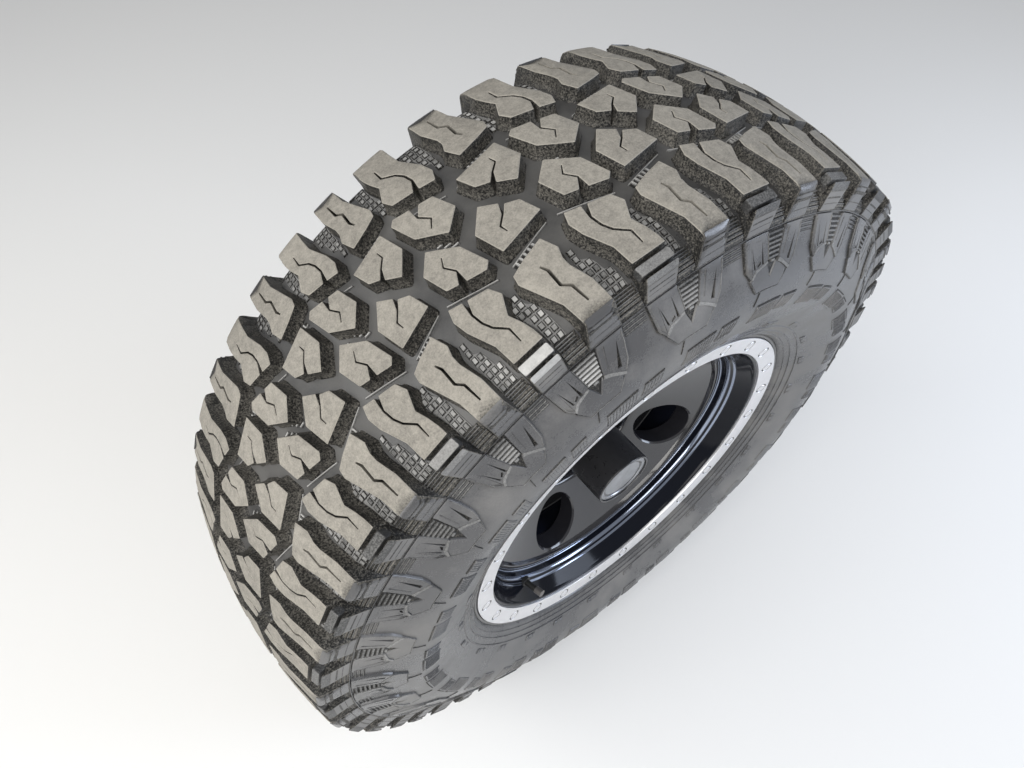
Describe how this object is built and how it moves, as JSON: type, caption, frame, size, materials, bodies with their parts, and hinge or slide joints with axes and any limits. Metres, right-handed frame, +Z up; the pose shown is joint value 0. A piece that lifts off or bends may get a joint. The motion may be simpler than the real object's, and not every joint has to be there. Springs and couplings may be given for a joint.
{
  "type": "off-road wheel and tyre on bearing hub",
  "caption": "Off-road wheel: mud-terrain tyre on a black wheel with a machined lip ring, round windows and a tall centre cap, turning on its bearing hub with a vented brake disc.",
  "frame": {"origin": "centre of the bearing housing's seat on the steering knuckle, on the spin axis", "axes": "+Y along the spin axis towards the vehicle's centre line, -Y outboard, +Z up, +X towards the vehicle's rear for a left-hand wheel"},
  "size_m": [0.8746, 0.318, 0.8748],
  "materials": {
    "tyre": "matt moulded rubber, dusty on the tread",
    "gloss_black": "gloss black paint",
    "machined": "bright machined, clear coated",
    "plated_steel": "bright plated",
    "cap_black": "satin black",
    "cap_silver": "brushed silver",
    "valve_rubber": "matt black",
    "brake_iron": "turned faces, dull hat",
    "hub_steel": "machined steel, dull",
    "shield_steel": "satin black pressed sheet"
  },
  "bodies": {
    "hub_carrier": {"bearing_housing": "hub_steel", "dust_shield": "shield_steel"},
    "wheel": {"tyre": "tyre", "rim_barrel": "gloss_black", "trim_ring": "machined", "wheel_disc": "gloss_black", "wheel_studs": "plated_steel", "lug_nuts": "plated_steel", "centre_cap": "cap_black", "cap_face": "cap_silver", "valve_stem": "valve_rubber", "valve_cap": "cap_black", "brake_disc": "brake_iron", "hub": "hub_steel", "bearing_lock_ring": "hub_steel"}
  },
  "joints": [
    {"name": "wheel_spin", "type": "hinge", "parent": "hub_carrier", "child": "wheel", "pos_m": [0, -0.08, 0], "axis": [0, 1, 0], "continuous": true}
  ]
}
